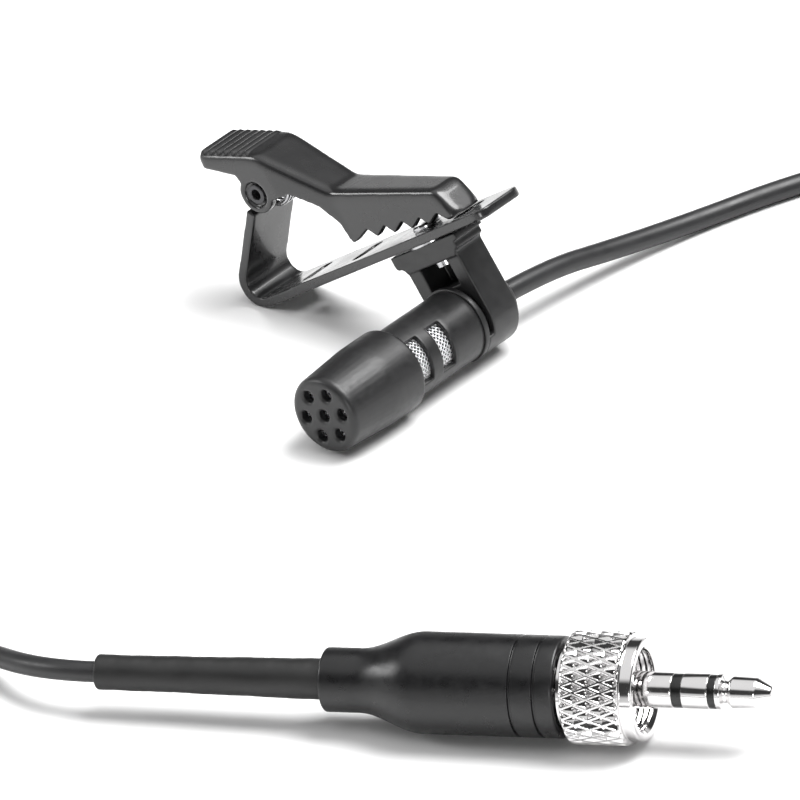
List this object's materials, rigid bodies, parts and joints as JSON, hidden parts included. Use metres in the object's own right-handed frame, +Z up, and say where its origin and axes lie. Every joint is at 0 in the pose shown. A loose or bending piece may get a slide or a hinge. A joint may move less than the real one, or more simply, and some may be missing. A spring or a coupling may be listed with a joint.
{
  "type": "lavalier microphone",
  "caption": "Lavalier microphone: slotted cylindrical microphone in a swivelling toothed tie clip, with a thin tied cord and a locking 3.5 mm plug with a knurled nut.",
  "frame": {"origin": "on the surface the microphone lies on, under the middle of the box round the head: microphone, holder and clip, without the cord and plug", "axes": "+Z up; +X the level direction of the clip towards the tip of its jaw; +Y along the microphone from its front face to its cord"},
  "size_m": [0.1363, 0.1655, 0.0184],
  "materials": {
    "black_moulding": "satin black moulding with a fine grain",
    "holder_plastic": "satin black moulding",
    "steel_mesh": "fine woven wire",
    "black_felt": "black felt",
    "capsule_metal": "drawn aluminium",
    "black_rubber": "matt rubber",
    "circuit_board": "green circuit board",
    "lead_insulation": "coloured insulation",
    "spring_steel": "bright spring steel",
    "black_painted_metal": "semi-gloss black paint",
    "dark_rivet": "black oxide",
    "cord_jacket": "satin flexible jacket",
    "tie_strap": "black woven strap",
    "relief_rubber": "matt heat-shrunk sleeve",
    "barrel_black": "satin black",
    "chrome_plate": "bright chrome plate",
    "black_insulator": "black plastic",
    "tag_brass": "tinned brass"
  },
  "bodies": {
    "microphone": {"mic_cap": "black_moulding", "cap_mesh": "steel_mesh", "capsule_spacer": "black_felt", "capsule_can": "capsule_metal", "capsule_gasket": "black_rubber", "capsule_board": "circuit_board", "mic_body": "black_moulding", "body_mesh": "steel_mesh", "mic_tail": "black_moulding", "tail_grommet": "black_rubber", "cord_clamp": "capsule_metal", "inner_leads": "lead_insulation", "cord_lead": "cord_jacket", "cord_coil": "cord_jacket", "cord_tie": "tie_strap", "cord_return": "cord_jacket", "relief_sleeve": "relief_rubber", "plug_cord_end": "cord_jacket", "plug_crimp": "capsule_metal", "plug_barrel": "barrel_black", "plug_stem": "chrome_plate", "jack_sleeve": "chrome_plate", "insulator_rear": "black_insulator", "jack_ring": "chrome_plate", "insulator_front": "black_insulator", "jack_tip": "chrome_plate", "solder_tags": "tag_brass", "plug_leads": "lead_insulation"},
    "holder": {"mic_holder": "holder_plastic", "swivel_washer": "spring_steel", "swivel_rivet": "spring_steel"},
    "clip": {"lower_jaw": "black_painted_metal", "torsion_spring": "spring_steel"},
    "lever": {"upper_lever": "black_painted_metal", "pivot_pin": "dark_rivet"},
    "slip_ring": {"slip_ring": "chrome_plate"},
    "lock_nut": {"lock_nut": "chrome_plate"}
  },
  "joints": [
    {"name": "holder_turn", "type": "hinge", "parent": "microphone", "child": "holder", "pos_m": [0.01297, 0.01018, 0.0044], "axis": [0, 1, 0], "range_deg": [-90, 90]},
    {"name": "clip_swivel", "type": "hinge", "parent": "holder", "child": "clip", "pos_m": [0.00808, 0.01018, 0.01266], "axis": [-0.5091, 0, 0.8607], "continuous": true},
    {"name": "lever_pivot", "type": "hinge", "parent": "clip", "child": "lever", "pos_m": [-0.01108, 0.01018, 0.01266], "axis": [0, -1, 0], "range_deg": [0, 25], "stiffness_Nm_per_rad": 0.02, "springref_deg": -28.65, "deforming": ["torsion_spring"]},
    {"name": "nut_slide", "type": "slide", "parent": "microphone", "child": "slip_ring", "axis": [0.9256, 0.3777, 0.0262], "range_m": [0, 0.0015]},
    {"name": "nut_spin", "type": "hinge", "parent": "slip_ring", "child": "lock_nut", "pos_m": [0.07338, -0.04358, 0.00556], "axis": [0.9256, 0.3777, 0.0262], "continuous": true}
  ]
}
